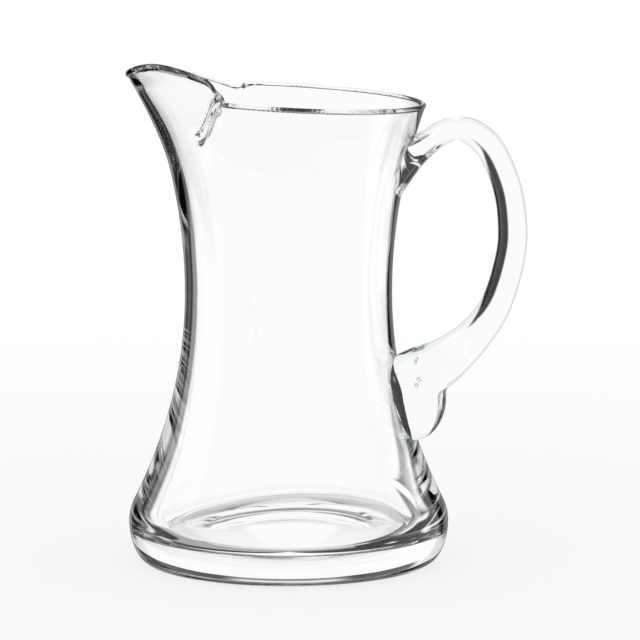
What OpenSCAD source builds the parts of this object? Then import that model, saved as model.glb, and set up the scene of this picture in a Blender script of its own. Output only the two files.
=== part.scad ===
// Blown glass jug with a drawn-in waist, a heavy base, a hand-pulled pouring lip and an applied handle.
// Origin at the centre of the base on the table, +Z up, the lip towards -X and the handle towards +X.
// All lengths are in millimetres and all angles in degrees.

/* [Body] */
// Outer radius of the ring that stands on the table
foot_r = 60; // [54:0.5:64]
// Largest radius, at the heel
heel_r = 69; // [66:0.5:78]
// Height of the largest radius
heel_z = 17.5; // [14:0.5:20]
// Radius of the round above the heel's widest point
heel_round = 19; // [12:0.5:24]
// How far the heel turns inwards before the side starts
heel_turn = 26.5; // [22:0.5:32]
// Outer radius at the waist
waist_r = 44.5; // [40:0.5:50]
// Height of the waist
waist_z = 117; // [105:1:125]
// Outer radius under the rim, away from the lip
rim_r = 58.5; // [54:0.5:64]
// Height of the wall's end under the rim, on the handle side
rim_z = 196.6; // [186:0.2:215]

/* [Inside] */
// Height of the inner floor over the table
floor_z = 12.5; // [8:0.5:20]
// Wall beside the floor, from the inside out to the heel
floor_wall = 11.5; // [9:0.5:18]
// Radius of the round between the floor and the wall
corner_round = 7; // [4:0.5:12]
// How far that round turns inwards before the inner side starts
corner_turn = 19.5; // [14:0.5:24]
// Wall at the waist
waist_wall = 3.6; // [2.4:0.1:5]
// Wall under the rim
rim_wall = 2; // [1.6:0.1:2.3]
// Radius of the fire-polished bead on the rim
bead_r = 1.2; // [1.05:0.05:1.6]

/* [Underside] */
// Inner radius of the ring that stands on the table
dish_r = 40; // [30:0.5:50]
// Height of the hollow in the middle of the underside
dish_h = 2.4; // [1:0.1:4]

/* [Lip] */
// Height where the lip starts to leave the round body
lip_root_z = 170; // [160:1:176]
// How far the tip stands out past the round rim
lip_reach = 10.6; // [5:0.1:16]
// How much the rim climbs from the handle side to the lip
rim_climb = 6.5; // [2:0.1:10]
// How much the lip's wings rise over the rim
lip_rise = 11.5; // [6:0.1:14]
// How much higher the near wing of the hand-pulled lip stands, and how much lower the far one
lip_lean = 6.6; // [0:0.1:8]
// How much the tip dips between the wings
lip_dip = 5.5; // [0:0.1:8]
// Angle from the tip to the near pinch
near_pinch = 64.5; // [58:0.5:70]
// Angle from the tip to the far pinch
far_pinch = 62; // [58:0.5:70]
// How far the pinches are pressed in at the rim
pinch_depth = 3; // [0.5:0.1:4]
// How far the foot of a pinch leans towards the tip
pinch_lean = 16.5; // [6:0.5:20]

/* [Handle] */
// Distance from the axis to the outermost point of the strap's middle line
handle_reach = 96; // [86:0.5:110]
// Height of the middle line at the top of the strap
handle_top_z = 187.8; // [180:0.5:192]
// Thickness of the strap at mid height
strap_t = 12.4; // [9:0.1:15]
// Width of the strap at mid height
strap_w = 19; // [14:0.5:24]
// Distance from the axis to the outer face of the pad
pad_reach = 68; // [64:0.5:70]
// Height of the lower end of the pad
pad_z = 53.2; // [48:0.5:58]
// Height of the pad
pad_h = 35; // [30:0.5:38]
// Depth of the pad, most of which lies inside the line of the wall
pad_t = 28; // [24:0.5:32]
// Width of the pad
pad_w = 35; // [30:0.5:40]
// Gap between the handle's seat and the wall
seat_gap = 0.05; // [0.02:0.01:0.2]

/* [Hidden] */

// How far the lip's ring reaches down into the wall below it, and how far inside its faces
lap_depth = 1.2;
lap_inset = 0.12;

// Numbers of steps along the curves
foot_steps = 7;
turn_steps = 3;
side_steps = 16;
neck_steps = 9;
floor_steps = 7;
dish_steps = 6;
lip_steps = 12;
strap_steps = 3;
pad_steps = 12;
strap_sides = 24;
round_fn = 144;

// Sectors round the lip: fine over the pinches, wider between them and coarse round the back
fine_reach = 6;
fine_step = 1;
lip_step = 4;
coarse_step = 6;

// Shares and spreads that shape the lip, chosen by hand
pinch_start_share = 0.46;
pinch_full_share = 0.64;
pinch_spread = 1.8;
pinch_soften = 1.4;
tip_spread = 26;
dip_spread = 19;
wing_fall_share = 0.8;
lean_spread = 26;

// Angles round the section of the rim's bead, from its outer to its inner side
bead_steps = 6;
bead_from = -acos(rim_wall / 2 / bead_r);
bead_turns = [for (i = [0 : bead_steps]) bead_from + (180 - 2 * bead_from) * i / bead_steps];

// Stations of the strap from its root on the neck to its end under the pad. Each row gives the share
// of the way from the waist to handle_reach, the share of the way from pad_z to handle_top_z,
// and the shares of strap_t and of strap_w
strap_shares = [
    [-0.17, 0.810, 2.10, 2.15],
    [0.22, 0.934, 0.98, 1.38],
    [0.52, 1.000, 0.86, 1.00],
    [0.78, 0.952, 0.95, 0.98],
    [0.945, 0.826, 0.97, 1.00],
    [1.000, 0.700, 1.00, 1.00],
    [0.984, 0.590, 1.03, 1.00],
    [0.868, 0.440, 1.07, 1.03],
    [0.674, 0.333, 1.27, 1.14],
    [0.440, 0.256, 1.62, 1.45],
    [0.240, 0.214, 1.90, 1.80],
    [-0.010, 0.160, 1.94, 1.80]];
// Angles at which the pad's round starts and ends
pad_turn = 84;
// How square the sections of the strap and of the pad are: 2 is an ellipse
strap_square_share = 2.3;
pad_square_share = 3;
// How blunt the ends of the pad are: 1 is an ellipse, and less keeps it wide for longer
pad_blunt_share = 0.6;

function curve(a, b, c, u) = (1 - u) * (1 - u) * a + 2 * u * (1 - u) * b + u * u * c;
function ease(u) = let (t = min(max(u, 0), 1)) t * t * (3 - 2 * t);
function bump(a, spread) = exp(-a * a / (spread * spread));

// Outside of the body in the half plane (radius, height), from the foot up to the lip's root
heel_c = [heel_r - heel_round, heel_z];
side_start = heel_c + heel_round * [cos(heel_turn), sin(heel_turn)];
side_bend = [waist_r, side_start[1] + (side_start[0] - waist_r) / tan(heel_turn)];
waist_p = [waist_r, waist_z];
function neck_r(z) = waist_r + (rim_r - waist_r) * pow((z - waist_z) / (rim_z - waist_z), 2);
function neck_slope(z) = 2 * (rim_r - waist_r) * (z - waist_z) / pow(rim_z - waist_z, 2);
function neck_wall(z) = waist_wall + (rim_wall - waist_wall) * (z - waist_z) / (rim_z - waist_z);

function lower_outside() = concat(
    [for (i = [0 : foot_steps]) let (a = 90 * i / foot_steps)
        [foot_r + (heel_r - foot_r) * sin(a), heel_z * (1 - cos(a))]],
    [for (i = [1 : turn_steps]) let (a = heel_turn * i / turn_steps)
        heel_c + heel_round * [cos(a), sin(a)]],
    [for (i = [1 : side_steps]) curve(side_start, side_bend, waist_p, i / side_steps)]);
function neck_outside(top_z) = [for (i = [1 : neck_steps])
    let (z = waist_z + (top_z - waist_z) * i / neck_steps) [neck_r(z), z]];

// Inside of the body, from the middle of the floor up to the lip's root
floor_r = heel_r - floor_wall;
corner_c = [floor_r - corner_round, floor_z + corner_round];
inner_start = corner_c + corner_round * [cos(corner_turn), sin(corner_turn)];
inner_waist = [waist_r - waist_wall, waist_z];
inner_bend = [inner_waist[0], inner_start[1] + (inner_start[0] - inner_waist[0]) / tan(corner_turn)];
function inside() = concat(
    [[0, floor_z]],
    [for (i = [0 : floor_steps]) let (a = -90 + (90 + corner_turn) * i / floor_steps)
        corner_c + corner_round * [cos(a), sin(a)]],
    [for (i = [1 : side_steps]) curve(inner_start, inner_bend, inner_waist, i / side_steps)],
    [for (p = neck_outside(lip_root_z)) [p[0] - neck_wall(p[1]), p[1]]]);

function underside() = [for (i = [0 : dish_steps]) let (s = i / dish_steps)
    [dish_r * s, dish_h * (1 - s * s)]];

function reversed(list) = [for (i = [len(list) - 1 : -1 : 0]) list[i]];

// The blown round part of the body: foot, heavy base, side, waist and neck
module round_body() {
    rotate_extrude($fn = round_fn)
        polygon(concat(underside(), lower_outside(), neck_outside(lip_root_z), reversed(inside())));
}

// The filled outside of the round body, grown by a gap, as the seat that the handle lies on
module seat(gap) {
    rotate_extrude($fn = round_fn)
        polygon(concat([[0, 0]],
            [for (p = concat(lower_outside(), neck_outside(rim_z))) [p[0] + gap, p[1]]],
            [[0, rim_z]]));
}

// Lip: a is the angle from the tip, below zero on the near side
function past_pinch(a) = abs(a) - (a < 0 ? near_pinch : far_pinch);
function pinch_step(a) = 1 / (1 + exp(past_pinch(a) / pinch_soften));
function wing_rise(a) = lip_rise * (1 - wing_fall_share * pow(a / near_pinch, 2)) - lip_lean * sin(a)
    - lip_dip * bump(a, dip_spread);
function lip_z(a) = rim_z + rim_climb * (1 + cos(a)) / 2 + wing_rise(a) * pinch_step(a);
function lip_r(a) = rim_r + lip_reach * bump(a, tip_spread);
function lean(u) = pinch_lean * min((1 - u) / (1 - pinch_start_share), 1);
function pinch(a, u) = pinch_depth
    * ease((u - pinch_start_share) / (pinch_full_share - pinch_start_share))
    * bump(past_pinch(a) + lean(u) - pinch_soften, pinch_spread);

// Outer line of the lip's ring at one angle, a curve that leaves the neck along its own slope
root_half = (rim_z - lip_root_z) / 2;
root_p = [neck_r(lip_root_z), lip_root_z];
root_bend = root_p + root_half * [neck_slope(lip_root_z), 1];
function lip_line(a, u) = curve(root_p, root_bend, [lip_r(a), lip_z(a)], u) - [pinch(a, u), 0];
function lip_run(a, u) = (1 - u) * (root_bend - root_p) + u * ([lip_r(a), lip_z(a)] - root_bend);
function unit(v) = v / norm(v);
function outward(v) = unit([v[1], -v[0]]);

// Place in space of a point in the half plane at one angle
function turned(p, a) = [-p[0] * cos(a), p[0] * sin(a), p[1]];

// A column of the lip's ring leans with the pinch beside it, so that the groove runs along it
function leaning(a, u) = a - sign(a) * lean(u) * bump(past_pinch(a), lean_spread);
function lip_column(a) = [for (i = [0 : lip_steps]) [leaning(a, i / lip_steps), i / lip_steps]];

// One closed column of the lip's ring: up the outside, round the bead, down the inside
function lip_section(a) = let (
        end_run = unit(lip_run(a, 1)),
        end_out = outward(end_run),
        bead_c = lip_line(a, 1) - end_out * rim_wall / 2,
        root_wall = neck_wall(lip_root_z),
        root_a = leaning(a, 0))
    concat(
        [turned([root_p[0] - lap_inset, lip_root_z - lap_depth], root_a)],
        [for (c = lip_column(a)) turned(lip_line(c[0], c[1]) - [lap_inset * (1 - c[1]), 0], c[0])],
        [for (t = bead_turns) turned(bead_c + bead_r * (cos(t) * end_out + sin(t) * end_run), a)],
        [for (c = reversed(lip_column(a)))
            let (wall = root_wall + (rim_wall - root_wall) * c[1], out = outward(lip_run(c[0], c[1])))
            turned(lip_line(c[0], c[1]) - out * wall + [lap_inset * (1 - c[1]), 0], c[0])],
        [turned([root_p[0] - root_wall + lap_inset, lip_root_z - lap_depth], root_a)]);

function half_angles(pinch_at) = let (first = pinch_at - fine_reach, last = pinch_at + fine_reach)
    concat(
        [for (a = [0 : lip_step : first - lip_step / 2]) a],
        [for (a = [first : fine_step : last]) a],
        [for (a = [last + coarse_step / 2 : coarse_step : 180 - coarse_step / 2]) a]);
near_angles = half_angles(near_pinch);
far_angles = half_angles(far_pinch);
lip_angles = concat([-180], [for (i = [len(near_angles) - 1 : -1 : 1]) -near_angles[i]], far_angles);

// Two triangles between neighbours i, j of one ring and the same places of the next ring
function strip(ring, next, i, j) = [[ring + i, ring + j, next + j], [ring + i, next + j, next + i]];

module lip_ring() {
    sections = [for (a = lip_angles) lip_section(a)];
    count = len(lip_angles);
    size = len(sections[0]);
    points = [for (section = sections) for (p = section) p];
    faces = [for (s = [0 : count - 1]) for (k = [0 : size - 1])
        for (f = strip((s + 1) % count * size, s * size, k, (k + 1) % size)) f];
    polyhedron(points, faces);
}

// Handle: stations are rows of radius, height, thickness and width. The strap's follow a smooth line
function through(p, q, r, s, u) = q + u / 2 * ((r - p)
    + u * (2 * p - 5 * q + 4 * r - s + u * (3 * (q - r) + s - p)));
function strap_marks() = [for (s = strap_shares) [
    waist_r + (handle_reach - waist_r) * s[0], pad_z + (handle_top_z - pad_z) * s[1],
    strap_t * s[2], strap_w * s[3]]];
function strap_stations() = let (marks = strap_marks(), last = len(marks) - 1)
    [for (n = [0 : last * strap_steps]) let (i = min(floor(n / strap_steps), last - 1))
        through(marks[max(i - 1, 0)], marks[i], marks[i + 1], marks[min(i + 2, last)],
            n / strap_steps - i)];

// The pad is a blunt tongue pressed against the side, drawn from its top down to its tail
function pad_stations() = [for (n = [0 : pad_steps]) let (a = pad_turn * (1 - 2 * n / pad_steps))
    [pad_reach - pad_t / 2, pad_z + pad_h / 2 * (1 + sin(a)),
        pad_t * cos(a), pad_w * pow(cos(a), pad_blunt_share)]];

// Closed section at one station, square to the line through its neighbours
function squared(c, square) = sign(c) * pow(abs(c), 2 / square);
function drawn_section(list, n, square) = let (
        m = list[n],
        run = list[min(n + 1, len(list) - 1)] - list[max(n - 1, 0)],
        out = unit([-run[1], run[0]]))
    [for (k = [0 : strap_sides - 1]) let (
            a = 360 * k / strap_sides,
            across = squared(cos(a), square) * m[2] / 2)
        [m[0] + out[0] * across, squared(sin(a), square) * m[3] / 2, m[1] + out[1] * across]];

module drawn_glass(list, square) {
    last = len(list) - 1;
    points = [for (n = [0 : last]) for (p = drawn_section(list, n, square)) p];
    sides = [for (n = [0 : last - 1]) for (k = [0 : strap_sides - 1])
        for (f = strip(n * strap_sides, (n + 1) * strap_sides, k, (k + 1) % strap_sides)) f];
    first_cap = [for (k = [strap_sides - 1 : -1 : 0]) k];
    last_cap = [for (k = [0 : strap_sides - 1]) last * strap_sides + k];
    polyhedron(points, concat(sides, [first_cap, last_cap]));
}

// Blown body with its heavy base, pulled lip and fire-polished rim, one gather of glass
module body() {
    color([0.86, 0.93, 0.91, 0.45]) union() {
        round_body();
        lip_ring();
    }
}

// Handle, a second gather drawn out to a strap and laid on the finished body
module handle() {
    color([0.80, 0.90, 0.87, 0.6]) difference() {
        union() {
            drawn_glass(strap_stations(), strap_square_share);
            drawn_glass(pad_stations(), pad_square_share);
        }
        seat(seat_gap);
    }
}

body();
handle();
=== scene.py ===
# %% [markdown]
# # A blown glass jug
# This lesson dresses a clear glass jug for its portrait. The construction model already fixes every
# size, so the lesson only adds what a camera sees: smooth glass, a pulled lip, a drawn handle, seeds of
# air in the glass, and the light that makes clear glass readable.
# Everything is in metres, in the construction model's own frame: the origin is the centre of the base
# on the table, +Z is up, the lip points along -X and the handle along +X.

# %% Load the construction model
import math

import bmesh
import bpy
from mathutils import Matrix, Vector


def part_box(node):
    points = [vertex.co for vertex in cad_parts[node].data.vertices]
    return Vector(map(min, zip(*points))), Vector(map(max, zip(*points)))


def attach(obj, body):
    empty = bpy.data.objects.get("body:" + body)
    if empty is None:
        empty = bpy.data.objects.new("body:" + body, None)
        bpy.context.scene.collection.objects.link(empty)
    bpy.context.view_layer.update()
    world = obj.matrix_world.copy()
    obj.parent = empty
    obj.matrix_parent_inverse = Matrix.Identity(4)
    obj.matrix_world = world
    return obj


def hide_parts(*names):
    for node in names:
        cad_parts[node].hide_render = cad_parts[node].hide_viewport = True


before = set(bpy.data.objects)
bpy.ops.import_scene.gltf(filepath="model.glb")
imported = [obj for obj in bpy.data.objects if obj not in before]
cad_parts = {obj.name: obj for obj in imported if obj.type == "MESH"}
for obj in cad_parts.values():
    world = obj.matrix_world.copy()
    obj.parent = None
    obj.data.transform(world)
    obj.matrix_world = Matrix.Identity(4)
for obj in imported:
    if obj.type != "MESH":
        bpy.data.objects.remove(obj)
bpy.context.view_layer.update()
body_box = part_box("body")
print("frame nodes:", sorted(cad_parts))

# %% [markdown]
# ## Sizes of the jug
# The jug is blown in one gather, so one outline describes its outside and its inside. The radii and
# heights below are the ones that the construction model was drawn with. Writing them once, at the top,
# keeps the mesh and the model in step.

# %% Sizes of the body
mm = 0.001
foot_r, heel_r, heel_z = 60 * mm, body_box[1].y, 17.5 * mm
heel_round, heel_turn = 19 * mm, math.radians(26.5)
waist_r, waist_z = 44.5 * mm, 117 * mm
rim_r, rim_z = 58.5 * mm, 196.6 * mm
floor_z, floor_r = 12.5 * mm, 57.5 * mm
corner_round, corner_turn = 7 * mm, math.radians(19.5)
waist_wall, rim_wall, bead_r = 3.6 * mm, 2.0 * mm, 1.2 * mm
dish_r, dish_h = 40 * mm, 2.4 * mm
print("heel radius from the frame:", round(heel_r / mm, 2), "mm")

# %% [markdown]
# ## Small helpers
# Operators act on whatever is selected, and the loaded model arrives selected. So each step first puts
# everything aside and picks one piece. The two curve helpers are the ones that draughtsmen use: a
# quadratic curve that leaves along one line and arrives along another, and a soft step.

# %% Helpers
def only(piece):
    """Select one piece alone and make it active, in object mode."""
    if bpy.context.object and bpy.context.object.mode != "OBJECT":
        bpy.ops.object.mode_set(mode="OBJECT")
    bpy.ops.object.select_all(action="DESELECT")
    piece.select_set(True)
    bpy.context.view_layer.objects.active = piece


def edit(piece):
    """Open one piece in edit mode with everything in it selected."""
    only(piece)
    bpy.ops.object.mode_set(mode="EDIT")
    bpy.ops.mesh.select_all(action="SELECT")


def curve(a, b, c, u):
    """A point on the quadratic curve from a to c that bends towards b."""
    return tuple((1 - u) ** 2 * p + 2 * u * (1 - u) * q + u * u * r for p, q, r in zip(a, b, c))


def ease(u):
    """A soft step from 0 to 1."""
    u = min(max(u, 0.0), 1.0)
    return u * u * (3 - 2 * u)


def bump(x, spread):
    """A bell of height 1."""
    return math.exp(-(x / spread) ** 2)


def shares(count):
    """Even shares from just over 0 up to 1."""
    return [i / count for i in range(1, count + 1)]


def report(piece):
    """Print what a piece has become, with its volume, which is negative if it is inside out."""
    shape = bmesh.new()
    shape.from_mesh(piece.data)
    volume = shape.calc_volume(signed=True) * 1e6
    open_edges = sum(not e.is_manifold for e in shape.edges)
    shape.free()
    faces = len(piece.data.polygons)
    print(f"{piece.name}: {faces} faces, {volume:.1f} cm3, {open_edges} open edges")


# %% [markdown]
# ## Outline of the blown body
# A blown vessel is round because it turns while it is soft, so half of its section says it all. The
# outline starts at the middle of the underside, runs out over the shallow hollow and the flat ring that
# stands on the table, round the heel, in to the waist, out to the neck, over the rim and back down the
# inside to the middle of the floor.

# %% Curves of the outside and the inside
heel_c = (heel_r - heel_round, heel_z)
side_start = (heel_c[0] + heel_round * math.cos(heel_turn), heel_z + heel_round * math.sin(heel_turn))
side_bend = (waist_r, side_start[1] + (side_start[0] - waist_r) / math.tan(heel_turn))
corner_c = (floor_r - corner_round, floor_z + corner_round)
inner_start = (corner_c[0] + corner_round * math.cos(corner_turn),
               corner_c[1] + corner_round * math.sin(corner_turn))
inner_waist = (waist_r - waist_wall, waist_z)
inner_bend = (inner_waist[0],
              inner_start[1] + (inner_start[0] - inner_waist[0]) / math.tan(corner_turn))


def neck_r(z):
    """Outer radius of the neck at a height."""
    return waist_r + (rim_r - waist_r) * ((z - waist_z) / (rim_z - waist_z)) ** 2


def neck_wall(z):
    """Wall of the neck at a height."""
    return waist_wall + (rim_wall - waist_wall) * (z - waist_z) / (rim_z - waist_z)


print("the side leaves the heel", round(side_start[0] / mm, 1), "mm out and",
      round(side_start[1] / mm, 1), "mm up")

# %% Rows of the outline up to the lip's root
lip_root_z = 170 * mm
dish_rows, foot_rows, heel_rows, side_rows, neck_rows = 12, 12, 6, 34, 18
floor_rows, corner_rows = 5, 12
underside = [(dish_r * u, dish_h * (1 - u * u)) for u in [0] + shares(dish_rows)]
foot = [(foot_r + (heel_r - foot_r) * math.sin(a), heel_z * (1 - math.cos(a)))
        for a in [math.pi / 2 * u for u in [0] + shares(foot_rows)]]
heel = [(heel_c[0] + heel_round * math.cos(a), heel_z + heel_round * math.sin(a))
        for a in [heel_turn * u for u in shares(heel_rows)]]
side = [curve(side_start, side_bend, (waist_r, waist_z), u) for u in shares(side_rows)]
neck = [(neck_r(z), z) for z in [waist_z + (lip_root_z - waist_z) * u for u in shares(neck_rows)]]
floor_row = [(corner_c[0] * u, floor_z) for u in [0] + shares(floor_rows)]
corner = [(corner_c[0] + corner_round * math.cos(a), corner_c[1] + corner_round * math.sin(a))
          for a in [(math.pi / 2 + corner_turn) * u - math.pi / 2 for u in shares(corner_rows)]]
inner_side = [curve(inner_start, inner_bend, inner_waist, u) for u in shares(side_rows)]
inner_neck = [(r - neck_wall(z), z) for r, z in neck]
outside = underside + foot + heel + side + neck
inside = floor_row + corner + inner_side + inner_neck
print("rows below the lip:", len(outside), "outside and", len(inside), "inside")

# %% [markdown]
# ## The pulled lip
# The glassmaker reheats the rim, pinches it with two tools and pulls the glass between them outwards.
# That leaves two grooves, a tip that stands out and wings that rise beside it. The near wing is a little
# higher than the far one, as on any lip pulled by hand. An angle of 0 is the tip, and the near side is
# below 0. Formulas are chosen here instead of free sculpting, because the solid model has the same ones.
# The ridge inside the near pinch, the shallower far pinch and the fuller bead at the tip are added here.

# %% Sizes of the lip
lip_reach, rim_climb, lip_rise, lip_lean, lip_dip = 10.6 * mm, 6.5 * mm, 11.5 * mm, 6.6 * mm, 5.5 * mm
near_pinch, far_pinch, pinch_lean, pinch_depth = 64.5, 62, 16.5, 3.0 * mm
pinch_start, pinch_full, pinch_spread, pinch_soften = 0.46, 0.64, 1.8, 1.4
ridge_depth, ridge_spread, ridge_start, ridge_full, ridge_fade = 7.0 * mm, 2.6, 0.38, 0.52, 0.22
tip_bead, tip_bead_spread, far_share, wall_turn = 0.4, 13, 0.35, 0.5
tip_spread, dip_spread, wing_fall = 26, 19, 0.8
root_half = (rim_z - lip_root_z) / 2
root_slope = 2 * (rim_r - waist_r) * (lip_root_z - waist_z) / (rim_z - waist_z) ** 2
root_p = (neck_r(lip_root_z), lip_root_z)
root_bend = (root_p[0] + root_half * root_slope, lip_root_z + root_half)
print("the neck leans out by", round(root_slope, 3), "at the lip's root")


# %% Shape of the lip at one angle
def past_pinch(a):
    """Angle from the pinch on the same side, positive away from the tip."""
    return abs(a) - (near_pinch if a < 0 else far_pinch)


def lip_end(a):
    """Radius and height of the wall's end at an angle from the tip, in degrees."""
    wing = lip_rise * (1 - wing_fall * (a / near_pinch) ** 2) - lip_lean * math.sin(math.radians(a))
    wing -= lip_dip * bump(a, dip_spread)
    step = 1 / (1 + math.exp(past_pinch(a) / pinch_soften))
    z = rim_z + rim_climb * (1 + math.cos(math.radians(a))) / 2 + wing * step
    return rim_r + lip_reach * bump(a, tip_spread), z


def pinch(a, u, depth, spread, start, full):
    """How far the nearest pinch pushes the wall in, at an angle and a share u of the way up."""
    place = pinch_soften - pinch_lean * min((1 - u) / (1 - pinch_start), 1)
    depth *= 1 if a < 0 else far_share
    return depth * ease((u - start) / (full - start)) * bump(past_pinch(a) - place, spread)


def lip_outside(a, u):
    """A point on the outside of the lip, at a share u of the way up from its root."""
    r, z = curve(root_p, root_bend, lip_end(a), u)
    return Vector((r - pinch(a, u, pinch_depth, pinch_spread, pinch_start, pinch_full), z))


def lip_run(a, u):
    """Direction of the outside of the lip, going up."""
    start, bend, end = Vector(root_p), Vector(root_bend), Vector(lip_end(a))
    return ((1 - u) * (bend - start) + u * (end - bend)).normalized()


def lip_point(part, share, a):
    """A point of the lip: on its outside, its inside or the round bead of its rim."""
    u = 1 if part == "bead" else share
    run = lip_run(a, u)
    out = Vector((run.y, -run.x))
    if part == "outside":
        return lip_outside(a, u)
    if part == "inside":
        wall = neck_wall(lip_root_z) + (rim_wall - neck_wall(lip_root_z)) * u
        ridge = ease((1 - u) / ridge_fade) if a < 0 else 0
        pairs = [(pinch_depth, ridge_depth), (pinch_spread, ridge_spread),
                 (pinch_start, ridge_start), (pinch_full, ridge_full)]
        pushed = [p + (q - p) * ridge for p, q in pairs]
        smooth = Vector(curve(root_p, root_bend, lip_end(a), u))
        across = Vector((1, 0)).lerp(out, ease(u / wall_turn))
        return smooth - across * wall - Vector((pinch(a, u, *pushed), 0))
    turn = math.radians(share)
    round_r = bead_r * (1 + tip_bead * bump(a, tip_bead_spread))
    return lip_outside(a, 1) - out * rim_wall / 2 + round_r * (math.cos(turn) * out + math.sin(turn) * run)


print("the tip ends", round(lip_end(0)[0] / mm, 1), "mm out and", round(lip_end(0)[1] / mm, 1), "mm up")

# %% Rows of the lip
lip_steps, bead_steps = 30, 14
bead_from = -math.degrees(math.acos(rim_wall / 2 / bead_r))
bead_to = 180 - bead_from
bead_turns = [bead_from + (bead_to - bead_from) * i / bead_steps for i in range(bead_steps + 1)]
lip_rows = [("outside", u) for u in shares(lip_steps)]
lip_rows += [("bead", t) for t in bead_turns]
lip_rows += [("inside", u) for u in reversed(shares(lip_steps))]
back = 180
outline = outside + [tuple(lip_point(part, share, back)) for part, share in lip_rows] + inside[::-1]
print("the whole outline has", len(outline), "rows, and the rim at the back ends at",
      round(lip_end(back)[1] / mm, 1), "mm")

# %% [markdown]
# ## Spin the body
# A plane merged to one vertex is the start. Extruding that vertex draws the outline, and Spin turns it
# round the axis, as the pipe turns the glass. The seam where the turn closes and the two poles are
# merged, and then the normals are made to point out of the glass. An attribute on the outline's vertices
# remembers which row each one belongs to, because Spin copies attributes with the vertices. The turn is
# made in five sweeps of so many degrees and steps, with the finest steps where the pinches come.

# %% Draw an outline and spin it
weld = mm / 1000


def draw_outline(name, rows):
    """A line of vertices through rows of radius and height."""
    bpy.ops.object.select_all(action="DESELECT")
    bpy.ops.mesh.primitive_plane_add(size=mm, location=(rows[0][0], 0, rows[0][1]))
    piece = bpy.context.object
    piece.name = piece.data.name = name
    bpy.ops.object.transform_apply(location=True)
    edit(piece)
    bpy.ops.mesh.merge(type="CENTER")
    for (r0, z0), (r1, z1) in zip(rows, rows[1:]):
        bpy.ops.mesh.extrude_vertices_move(TRANSFORM_OT_translate={"value": (r1 - r0, 0, z1 - z0)})
    bpy.ops.object.mode_set(mode="OBJECT")
    return piece


def spin_outline(piece, sweeps):
    """Turn an outline round the axis, in sweeps of degrees and steps, and close the shape."""
    edit(piece)
    for degrees, steps in sweeps:
        bpy.ops.mesh.spin(steps=steps, angle=math.radians(degrees), center=(0, 0, 0), axis=(0, 0, 1))
    bpy.ops.mesh.select_all(action="SELECT")
    bpy.ops.mesh.remove_doubles(threshold=weld)
    bpy.ops.mesh.normals_make_consistent(inside=False)
    bpy.ops.object.mode_set(mode="OBJECT")
    report(piece)


# %% Spin the body
body_sweeps = [(106, 53), (28, 84), (92, 92), (28, 84), (106, 53)]
jug_body = draw_outline("jug_body", outline)
rows = jug_body.data.attributes.new("row", "INT", "POINT")
for i, row in enumerate(rows.data):
    row.value = i
spin_outline(jug_body, body_sweeps)

# %% [markdown]
# ## Let the bubble lie off the middle
# No blown wall is even all round. Soft glass sags while the pipe turns, so the bubble inside ends up a
# little off the middle, and the dark line of the wall is broader on one side than on the other. The bubble
# could be a second outline, spun round its own axis and cut out. Moving the inner rows is simpler: they
# slide towards the handle, which thickens the wall below the lip. Up in the neck only the lip's side
# moves, because the wall by the handle is already thin there.

# %% Slide the inner rows
bubble_shift, shift_low, shift_full, shift_fade = 1.3 * mm, 16 * mm, 50 * mm, 36 * mm
lip_side_spread = 40
first_lip = len(outside)
first_inside = first_lip + len(lip_rows)


def from_tip(co):
    """Angle of a point from the tip, in degrees, below 0 on the near side."""
    return math.degrees(math.atan2(co.y, -co.x))


def bubble_off(z, a):
    """How far the bubble lies off the middle, at a height and an angle from the tip."""
    low = ease((z - shift_low) / (shift_full - shift_low))
    even = ease((lip_root_z - z) / shift_fade)
    return bubble_shift * low * (even + (1 - even) * bump(a, lip_side_spread))


row_of = jug_body.data.attributes["row"]
for vertex, row in zip(jug_body.data.vertices, row_of.data):
    if row.value >= first_inside:
        vertex.co.x += bubble_off(vertex.co.z, from_tip(vertex.co))
print("wall at the waist:", round((waist_wall + bubble_shift) / mm, 1), "mm below the lip and",
      round((waist_wall - bubble_shift) / mm, 1), "mm at the handle")

# %% [markdown]
# ## Pull the lip
# The spun rim is still round. Each of its vertices knows its row, and its angle from the tip says how far
# the tools pinched it and the hand pulled it, so every vertex goes straight to its place in the lip. The
# pinch also raises a ridge on the inside, which catches the light more than the groove outside does.

# %% Move the rows of the lip
shift_rim = 0.15
for vertex, row in zip(jug_body.data.vertices, row_of.data):
    if first_lip <= row.value < first_inside:
        a = from_tip(vertex.co)
        part, share = lip_rows[row.value - first_lip]
        r, z = lip_point(part, share, a)
        vertex.co = (-r * math.cos(math.radians(a)), r * math.sin(math.radians(a)), z)
        if part == "inside":
            vertex.co.x += bubble_off(z, a) * ease((1 - share) / shift_rim)
only(jug_body)
bpy.ops.object.shade_smooth()
report(jug_body)
print("lip reaches", round(min(v.co.x for v in jug_body.data.vertices) / mm, 1), "mm")

# %% [markdown]
# ## Draw the handle
# The handle is a second gather. It is dropped on the neck, drawn out to a strap, bent round and pressed
# against the side, where the last of it hangs down as a tongue. A circle extruded from station to
# station makes a strap that can swell and narrow, which a curve with one profile can't. Each station is
# a share of the sizes that it follows, the same as in the solid model.

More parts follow.
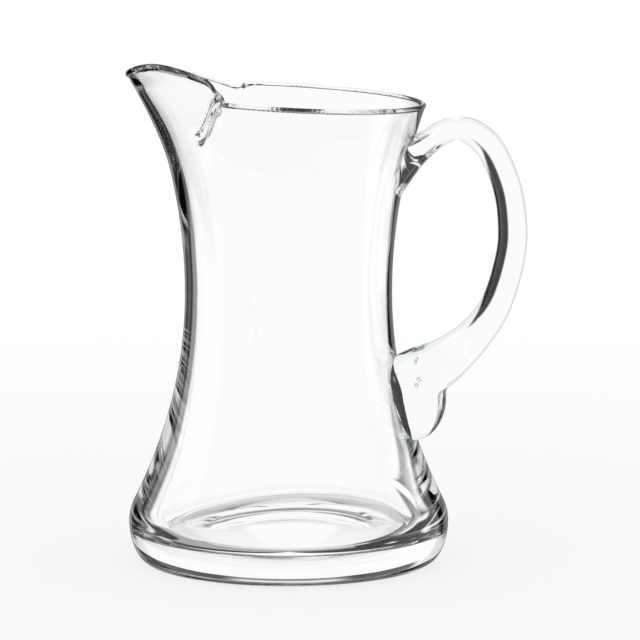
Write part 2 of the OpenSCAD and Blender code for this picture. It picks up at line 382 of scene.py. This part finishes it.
# %% Sizes and stations of the handle
handle_reach, handle_top_z, strap_t, strap_w = 96 * mm, 187.8 * mm, 12.4 * mm, 19 * mm
pad_reach, pad_z, pad_h, pad_t, pad_w = 68 * mm, 53.2 * mm, 35 * mm, 28 * mm, 35 * mm
strap_sides, strap_steps, pad_steps = 64, 8, 40
strap_square, pad_square, pad_blunt, pad_turn = 2.3, 3.0, 0.6, 84
strap_shares = [
    (-0.17, 0.810, 2.10, 2.15), (0.22, 0.934, 0.98, 1.38), (0.52, 1.000, 0.86, 1.00),
    (0.78, 0.952, 0.95, 0.98), (0.945, 0.826, 0.97, 1.00), (1.000, 0.700, 1.00, 1.00),
    (0.984, 0.590, 1.03, 1.00), (0.868, 0.440, 1.07, 1.03), (0.674, 0.333, 1.27, 1.14),
    (0.440, 0.256, 1.62, 1.45), (0.240, 0.214, 1.90, 1.80), (-0.010, 0.160, 1.94, 1.80)]
marks = [(waist_r + (handle_reach - waist_r) * x, pad_z + (handle_top_z - pad_z) * z,
          strap_t * t, strap_w * w) for x, z, t, w in strap_shares]


def through(p, q, r, s, u):
    """A share of the way from q to r on a smooth line through p, q, r and s."""
    return q + u / 2 * (r - p + u * (2 * p - 5 * q + 4 * r - s + u * (3 * (q - r) + s - p)))


def strap_station(n):
    """Radius, height, thickness and width of the strap at step n."""
    i = min(n // strap_steps, len(marks) - 2)
    four = [marks[min(max(k, 0), len(marks) - 1)] for k in range(i - 1, i + 3)]
    return tuple(through(*column, n / strap_steps - i) for column in zip(*four))


def pad_station(n):
    """The same for the blunt tongue that is pressed against the side, from its top to its tail."""
    a = math.radians(pad_turn) * (1 - 2 * n / pad_steps)
    return (pad_reach - pad_t / 2, pad_z + pad_h / 2 * (1 + math.sin(a)),
            pad_t * math.cos(a), pad_w * math.cos(a) ** pad_blunt)


strap_line = [strap_station(n) for n in range((len(marks) - 1) * strap_steps + 1)]
pad_line = [pad_station(n) for n in range(pad_steps + 1)]
print("strap has", len(strap_line), "stations and the pad", len(pad_line))


# %% Extrude a gather of glass along its stations
def squared(c, square):
    """A cosine or sine that makes a section squarer than an ellipse, for which square is 2."""
    return math.copysign(abs(c) ** (2 / square), c)


def section(line, n, square):
    """The ring of points at station n, square to the line through its neighbours."""
    x, z, thick, wide = line[n]
    ahead, behind = line[min(n + 1, len(line) - 1)], line[max(n - 1, 0)]
    out = Vector((behind[1] - ahead[1], ahead[0] - behind[0])).normalized()
    ring = []
    for k in range(strap_sides):
        a = 2 * math.pi * k / strap_sides
        across = squared(math.cos(a), square) * thick / 2
        aside = squared(math.sin(a), square) * wide / 2
        ring.append(Vector((x + out.x * across, aside, z + out.y * across)))
    return ring


def draw_gather(name, line, square):
    """A closed strap of glass along a line of stations."""
    bpy.ops.object.select_all(action="DESELECT")
    bpy.ops.mesh.primitive_circle_add(vertices=strap_sides, radius=line[0][2], fill_type="NGON")
    piece = bpy.context.object
    piece.name = piece.data.name = name
    for vertex, co in zip(piece.data.vertices, section(line, 0, square)):
        vertex.co = co
    edit(piece)
    for n in range(1, len(line)):
        bpy.ops.mesh.extrude_region_move()
        shape = bmesh.from_edit_mesh(piece.data)
        shape.verts.ensure_lookup_table()
        for vertex, co in zip(shape.verts[-strap_sides:], section(line, n, square)):
            vertex.co = co
        bmesh.update_edit_mesh(piece.data)
    bpy.ops.mesh.select_all(action="SELECT")
    bpy.ops.mesh.normals_make_consistent(inside=False)
    bpy.ops.object.mode_set(mode="OBJECT")
    report(piece)
    return piece


jug_handle = draw_gather("jug_handle", strap_line, strap_square)
pad = draw_gather("pad", pad_line, pad_square)

# %% [markdown]
# ## Weld the strap to its pad and seat it on the body
# Hot glass flows together, so the strap and the pad are joined by a union and the crease between them is
# softened: a voxel remesh gives an even skin, and a few rounds of smoothing let it flow. The seat is cut
# last, so that it stays exact. Its tool is the outside of the body, filled and a hair larger.

# %% Weld, soften and seat
seat_gap, skin, soften_rounds, flow_rounds = 0.05 * mm, 0.6 * mm, 16, 90
flow_z, flow_fade, soften_share = 92 * mm, 14 * mm, 0.5


def finish_with(piece, kind, **settings):
    """Add one modifier to a piece and apply it."""
    only(piece)
    modifier = piece.modifiers.new(kind.title(), kind)
    for name, value in settings.items():
        setattr(modifier, name, value)
    bpy.ops.object.modifier_apply(modifier=modifier.name)


finish_with(jug_handle, "BOOLEAN", operation="UNION", solver="EXACT", object=pad)
bpy.data.objects.remove(pad)
finish_with(jug_handle, "REMESH", mode="VOXEL", voxel_size=skin)
foot_of_handle = jug_handle.vertex_groups.new(name="foot_of_handle")
for vertex in jug_handle.data.vertices:
    foot_of_handle.add([vertex.index], ease((flow_z + flow_fade - vertex.co.z) / flow_fade), "REPLACE")
finish_with(jug_handle, "SMOOTH", factor=soften_share, iterations=soften_rounds)
finish_with(jug_handle, "SMOOTH", factor=soften_share, iterations=flow_rounds,
            vertex_group=foot_of_handle.name)
report(jug_handle)

# %% Cut the seat
neck_top_rows, seat_sweeps = 8, [(360, 360)]
neck_top = [(neck_r(z), z) for z in [lip_root_z + (rim_z - lip_root_z) * u for u in shares(neck_top_rows)]]
seat_rows = [(0, 0)] + [(r + seat_gap, z) for r, z in foot + heel + side + neck + neck_top] + [(0, rim_z)]
seat = draw_outline("seat", seat_rows)
spin_outline(seat, seat_sweeps)
finish_with(jug_handle, "BOOLEAN", operation="DIFFERENCE", solver="EXACT", object=seat)
bpy.data.objects.remove(seat)
report(jug_handle)

# %% Shade the handle
crease = 35
only(jug_handle)
bpy.ops.object.shade_smooth_by_angle(angle=math.radians(crease))
print("edges sharper than", crease, "degrees stay sharp, as round the seat")

# %% [markdown]
# ## Seeds of air
# A hand-made gather traps a few small bubbles, which glassmakers call seeds. Four of them lie in the pad.
# A seed is a hole in the glass, so its skin faces inwards: each is a small ball, a little taller than
# wide because the glass was drawn, turned inside out and joined to the handle. The list gives the place
# and the radius of each, in millimetres.

# %% Seeds in the pad
seeds = [(55.7, -6.0, 86.0, 0.55), (56.4, -6.4, 87.4, 0.5),
         (56.3, -5.6, 80.4, 0.65), (55.5, -6.0, 78.2, 0.7)]
seed_stretch, seed_detail = 1.5, 3
for x, y, z, r in seeds:
    bpy.ops.object.select_all(action="DESELECT")
    bpy.ops.mesh.primitive_ico_sphere_add(subdivisions=seed_detail, radius=r * mm,
                                          scale=(1, 1, seed_stretch), location=(x * mm, y * mm, z * mm))
    bpy.ops.object.shade_smooth()
    bpy.ops.object.mode_set(mode="EDIT")
    bpy.ops.mesh.flip_normals()
    bpy.ops.object.mode_set(mode="OBJECT")
    jug_handle.select_set(True)
    bpy.context.view_layer.objects.active = jug_handle
    bpy.ops.object.join()
report(jug_handle)

# %% [markdown]
# ## Clear glass
# Clear soda glass bends light by half as much again as air does, and where it is thick it looks a little
# green. Glass that is blown and drawn by hand is never quite even: its skin has long, faint waves, and a
# jug in use keeps a trace of wiping. Both pieces share that skin, so it is a node group with its own
# inputs, built once and placed in each glass with its own values. It puts out a roughness and a height.

# %% Skin of hand-made glass
drawn_out, wave_detail = (1, 1, 0.4), 1
wipe_scale, wipe_detail, wipe_from, wipe_full = 70, 4, 0.45, 0.8


def blown_skin():
    """Node group: long faint waves as a height, and wiping marks as a roughness."""
    group = bpy.data.node_groups.new("blown_skin", "ShaderNodeTree")
    for name, way in (("Wave Scale", "INPUT"), ("Wipe Roughness", "INPUT"),
                      ("Roughness", "OUTPUT"), ("Height", "OUTPUT")):
        group.interface.new_socket(name=name, in_out=way, socket_type="NodeSocketFloat")
    inlet, outlet = group.nodes.new("NodeGroupInput"), group.nodes.new("NodeGroupOutput")
    place, drawn = group.nodes.new("ShaderNodeTexCoord"), group.nodes.new("ShaderNodeMapping")
    drawn.inputs["Scale"].default_value = drawn_out
    waves, wiped = group.nodes.new("ShaderNodeTexNoise"), group.nodes.new("ShaderNodeTexNoise")
    waves.inputs["Detail"].default_value = wave_detail
    wiped.inputs["Scale"].default_value = wipe_scale
    wiped.inputs["Detail"].default_value = wipe_detail
    traces = group.nodes.new("ShaderNodeMapRange")
    traces.inputs["From Min"].default_value = wipe_from
    traces.inputs["From Max"].default_value = wipe_full
    link = group.links.new
    link(place.outputs["Object"], drawn.inputs["Vector"])
    link(drawn.outputs["Vector"], waves.inputs["Vector"])
    link(drawn.outputs["Vector"], wiped.inputs["Vector"])
    link(inlet.outputs["Wave Scale"], waves.inputs["Scale"])
    link(wiped.outputs[0], traces.inputs["Value"])
    link(inlet.outputs["Wipe Roughness"], traces.inputs["To Max"])
    link(traces.outputs[0], outlet.inputs["Roughness"])
    link(waves.outputs[0], outlet.inputs["Height"])
    return group


skin_of_glass = blown_skin()
print("skin has", len(skin_of_glass.nodes), "nodes")


# %% Materials
glass_ior, deep_tint = 1.5, (0.72, 0.92, 0.85, 1)


def glass(name, density, wave_scale, wave_height, wipe):
    """Clear glass with a faint tint that grows with its depth, under the skin of hand-made glass."""
    material = bpy.data.materials.new(name)
    material.use_nodes = True
    tree = material.node_tree
    shader = tree.nodes["Principled BSDF"]
    shader.inputs["Base Color"].default_value = (1, 1, 1, 1)
    shader.inputs["IOR"].default_value = glass_ior
    shader.inputs["Transmission Weight"].default_value = 1.0
    own_skin = tree.nodes.new("ShaderNodeGroup")
    own_skin.node_tree = skin_of_glass
    own_skin.inputs["Wave Scale"].default_value = wave_scale
    own_skin.inputs["Wipe Roughness"].default_value = wipe
    waves = tree.nodes.new("ShaderNodeBump")
    waves.inputs["Distance"].default_value = wave_height
    tint = tree.nodes.new("ShaderNodeVolumeAbsorption")
    tint.inputs["Color"].default_value = deep_tint
    tint.inputs["Density"].default_value = density
    tree.links.new(own_skin.outputs["Roughness"], shader.inputs["Roughness"])
    tree.links.new(own_skin.outputs["Height"], waves.inputs["Height"])
    tree.links.new(waves.outputs["Normal"], shader.inputs["Normal"])
    tree.links.new(tint.outputs[0], tree.nodes["Material Output"].inputs["Volume"])
    return material


body_glass = glass("clear_body_glass", 0.8, 40, 0.05 * mm, 0.02)
handle_glass = glass("clear_handle_glass", 3.0, 60, 0.05 * mm, 0.03)
for piece, finish in ((jug_body, body_glass), (jug_handle, handle_glass)):
    piece.data.materials.clear()
    piece.data.materials.append(finish)
    print(piece.name, "is", finish.name)

# %% [markdown]
# ## Bright-field light
# Clear glass has no colour to show. It is drawn by what it bends into view, so a photographer hangs a
# white sheet behind it and stands dark cards beside the sheet. Seen through the bowl all stays white, and
# every edge, which looks aside, turns dark. Lamps would leave hot spots on the glass, so here the world
# itself is the sheet and its cards.
# A ray's turn is how far it leaves to the left of the view and its rise is how far it leaves above level,
# both in degrees. A card is a window in turn and rise, with a strength at which 1 is white. On a real set
# a thin wall, a solid strap and a mirrored edge look past different things, because those stand at
# different depths. A world has no depth, so Light Path sorts the rays instead: by how many surfaces let
# them through and whether one has mirrored them. The numbers were found by trying: a card was moved until
# its streak lay where the photograph has one, from the photograph's own angle. Cards further round keep
# the bowl bright from 0, 45, 90 and 225 degrees round, and the steepest ones stand for the white paper
# under the jug. From the sides between those no card hangs behind the bowl, so it looks dark there.

# %% Cards
view_angle, dark, always = 95.7, 0.012, (-99, 99)
wall_cards = [(-14, 36, -46, 23, 1.0), (-34, -10, -15, 18, 1.0), (30, 66, -45, -17, 1.0),
              (64, 104, -32, 25, 1.0), (197, 241, -32, 25, 1.0), (-99, 275, -99, -50, 1.0)]
solid_cards = [(-12, 104, -60, 60, 1.0), (197, 241, -60, 60, 1.0), (-99, -8, 5, 99, 1.0),
               (-99, -8, -99, -24, 1.0), (-99, 275, -99, -45, 1.0)]
edge_cards = [(46, 275, *always, 0.4), (42, 94, -27, 99, 1.0), (30, 94, -27, -17, 0.8),
              (-99, -38, -19, -9, 1.0), (-99, -54, -40, -2, 1.0), (-16, 16, -99, -21, 1.0),
              (30, 46, -24, -5, 0.25), (6, 24, -24, -5, 0.2), (-14, 14, 2, 16, 1.0)]
echo_cards = [(-99, 275, -99, -5, 1.0), (65, 275, *always, 1.0), (-99, -65, *always, 1.0),
              (-12, 12, 8, 75, 1.0), (16, 65, -10, 5, 1.0)]
gloss_cards = [(-6, 6, *always, 1.0), (12, 24, *always, 0.5), (48, 275, *always, 0.85),
               (-99, -42, *always, 1.0), (-30, -10, *always, 0.4)]
print("cards:", sum(map(len, (wall_cards, solid_cards, edge_cards, echo_cards, gloss_cards))))


# %% Nodes that measure a ray
def math_node(tree, operation, *values):
    """A Math node with sockets or numbers as its inputs. Returns its output."""
    node = tree.nodes.new("ShaderNodeMath")
    node.operation = operation
    for socket, value in zip(node.inputs, values):
        if isinstance(value, bpy.types.NodeSocket):
            tree.links.new(value, socket)
        else:
            socket.default_value = value
    return node.outputs[0]


def soft_step(tree, value, edge, soft):
    """A soft step up at an edge, in degrees."""
    node = tree.nodes.new("ShaderNodeMapRange")
    node.interpolation_type = "SMOOTHSTEP"
    tree.links.new(value, node.inputs["Value"])
    node.inputs["From Min"].default_value = edge - soft
    node.inputs["From Max"].default_value = edge + soft
    return node.outputs[0]


def between(tree, value, low, high, soft):
    """1 between two angles and 0 outside them."""
    rises, falls = soft_step(tree, value, low, soft), soft_step(tree, value, high, soft)
    return math_node(tree, "SUBTRACT", rises, falls)


def brightest(tree, *values):
    """The largest of some values."""
    most = values[0]
    for value in values[1:]:
        most = math_node(tree, "MAXIMUM", most, value)
    return most


# %% Turn and rise of a ray
world = bpy.data.worlds.new("studio")
bpy.context.scene.world = world
world.use_nodes = True
sky = world.node_tree
path = sky.nodes.new("ShaderNodeLightPath")
direction = sky.nodes.new("ShaderNodeTexCoord")
parts = sky.nodes.new("ShaderNodeSeparateXYZ")
sky.links.new(direction.outputs["Generated"], parts.inputs[0])
degree = 180 / math.pi
angle = math_node(sky, "MULTIPLY", math_node(sky, "ARCTAN2", parts.outputs[1], parts.outputs[0]), degree)
turn = math_node(sky, "WRAP", math_node(sky, "SUBTRACT", angle, view_angle), 270.0, -90.0)
rise = math_node(sky, "MULTIPLY", math_node(sky, "ARCSINE", parts.outputs[2]), degree)
print("turn is measured from", view_angle, "degrees")

# %% Five kinds of ray
once, twice = 0.5, 2.5
crisp, soft_gloss, soft_edge = 2, 3, 4
passes, mirrors = path.outputs["Transmission Depth"], path.outputs["Glossy Depth"]
mirrored = math_node(sky, "GREATER_THAN", mirrors, once)
straight = math_node(sky, "LESS_THAN", mirrors, once)
entered = math_node(sky, "GREATER_THAN", passes, once)
outer = math_node(sky, "LESS_THAN", passes, once)
many = math_node(sky, "GREATER_THAN", passes, twice)
few = math_node(sky, "LESS_THAN", passes, twice)
one_piece = math_node(sky, "MULTIPLY", entered, few)
kinds = [(math_node(sky, "MULTIPLY", straight, many), wall_cards, crisp),
         (math_node(sky, "MULTIPLY", straight, one_piece), solid_cards, crisp),
         (math_node(sky, "MULTIPLY", mirrored, one_piece), edge_cards, soft_edge),
         (math_node(sky, "MULTIPLY", mirrored, many), echo_cards, crisp),
         (math_node(sky, "MULTIPLY", mirrored, outer), gloss_cards, soft_gloss)]
print("kinds of ray:", len(kinds))

# %% White sheet and dark cards
glass_bounces, mirror_bounces = 24, 16
glow = brightest(sky, dark, path.outputs["Is Camera Ray"], path.outputs["Is Diffuse Ray"])
for kind, cards, soft in kinds:
    for turn_low, turn_high, rise_low, rise_high, strength in cards:
        card = math_node(sky, "MULTIPLY", between(sky, turn, turn_low, turn_high, soft),
                         between(sky, rise, rise_low, rise_high, soft))
        card = math_node(sky, "MULTIPLY", card, strength)
        glow = brightest(sky, glow, math_node(sky, "MULTIPLY", kind, card))
sky.links.new(glow, sky.nodes["Background"].inputs["Strength"])
sky.nodes["Background"].inputs["Color"].default_value = (1, 1, 1, 1)
bpy.context.scene.cycles.max_bounces = glass_bounces
bpy.context.scene.cycles.glossy_bounces = mirror_bounces
bpy.context.scene.cycles.transmission_bounces = glass_bounces
print("the world has", len(sky.nodes), "nodes")

# %% [markdown]
# ## Floor
# The jug stands on white paper that is lit as brightly as the sheet behind it, so the two run together.
# Mixing a little matt surface into a glowing one near the jug keeps its faint shadow. Further off the
# paper only glows, so no horizon shows. Rays that come through the glass pass the paper by: they look at
# the cards, as they do on a set where the jug stands on a narrow ledge.

# %% Floor
paper_r, paper_drop, paper_sides = 5.0, 0.1 * mm, 96
bpy.ops.object.select_all(action="DESELECT")
bpy.ops.mesh.primitive_circle_add(vertices=paper_sides, radius=paper_r, fill_type="NGON",
                                  location=(0, 0, -paper_drop))
bpy.ops.object.transform_apply(location=True)
paper_floor = bpy.context.object
paper_floor.name = "paper_floor"
paper_floor.visible_transmission = paper_floor.visible_glossy = False
print("paper reaches", paper_r, "m")

# %% Finish of the paper
shadow_near, shadow_far, glow_near = 0.2, 0.8, 0.8
paper_white = (0.95, 0.95, 0.95, 1)
paper = bpy.data.materials.new("paper")
paper.use_nodes = True
tree = paper.node_tree
tree.nodes.remove(tree.nodes["Principled BSDF"])
light = tree.nodes.new("ShaderNodeEmission")
matt = tree.nodes.new("ShaderNodeBsdfDiffuse")
matt.inputs["Color"].default_value = paper_white
place = tree.nodes.new("ShaderNodeTexCoord")
distance = tree.nodes.new("ShaderNodeVectorMath")
distance.operation = "LENGTH"
fade = tree.nodes.new("ShaderNodeMapRange")
fade.interpolation_type = "SMOOTHSTEP"
for socket, value in zip(("From Min", "From Max", "To Min"), (shadow_near, shadow_far, glow_near)):
    fade.inputs[socket].default_value = value
mix = tree.nodes.new("ShaderNodeMixShader")
tree.links.new(place.outputs["Object"], distance.inputs[0])
tree.links.new(distance.outputs["Value"], fade.inputs["Value"])
tree.links.new(fade.outputs[0], mix.inputs[0])
tree.links.new(matt.outputs[0], mix.inputs[1])
tree.links.new(light.outputs[0], mix.inputs[2])
tree.links.new(mix.outputs[0], tree.nodes["Material Output"].inputs["Surface"])
paper_floor.data.materials.append(paper)
print("the shadow fades between", shadow_near, "and", shadow_far, "m")

# %% [markdown]
# ## Camera
# The photographer stood well back and looked a little down into the mouth, with the handle on the right.
# A long lens from that far keeps the sides of the jug as they are, where a short lens close by would make
# the rim too large. The focal length is written in image pixels, because that is how it is measured, and
# the aim is a little beside the axis, so that the handle has room.

# %% Camera
view_turn, view_pitch, view_far = math.radians(5.7), math.radians(8), 1.8
axis_z, axis_shift, focal_px = 104.3 * mm, 13.5 * mm, 4186
image_px, sensor = 640, 36
sideways = Vector((math.cos(view_turn), math.sin(view_turn), 0))
aim_at = Vector((0, 0, axis_z)) + sideways * axis_shift
level = math.cos(view_pitch)
back_dir = Vector((math.sin(view_turn) * level, -math.cos(view_turn) * level, math.sin(view_pitch)))
lens = bpy.data.cameras.new("camera")
lens.sensor_width = sensor
lens.lens = focal_px / image_px * sensor
camera = bpy.data.objects.new("camera", lens)
bpy.context.scene.collection.objects.link(camera)
camera.location = aim_at + back_dir * view_far
camera.rotation_euler = (-back_dir).to_track_quat("-Z", "Y").to_euler()
bpy.context.scene.camera = camera
print("camera stands", view_far, "m away with a lens of", round(lens.lens), "mm")

# %% [markdown]
# ## Attach the pieces
# Nothing on a glass jug moves, so both pieces ride on the one body. Each takes the place of its solid,
# which stays behind for weight and contact.

# %% Attach the pieces
bpy.context.scene.view_settings.view_transform = "Standard"
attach(jug_body, "root")
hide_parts("body")
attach(jug_handle, "root")
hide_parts("handle")
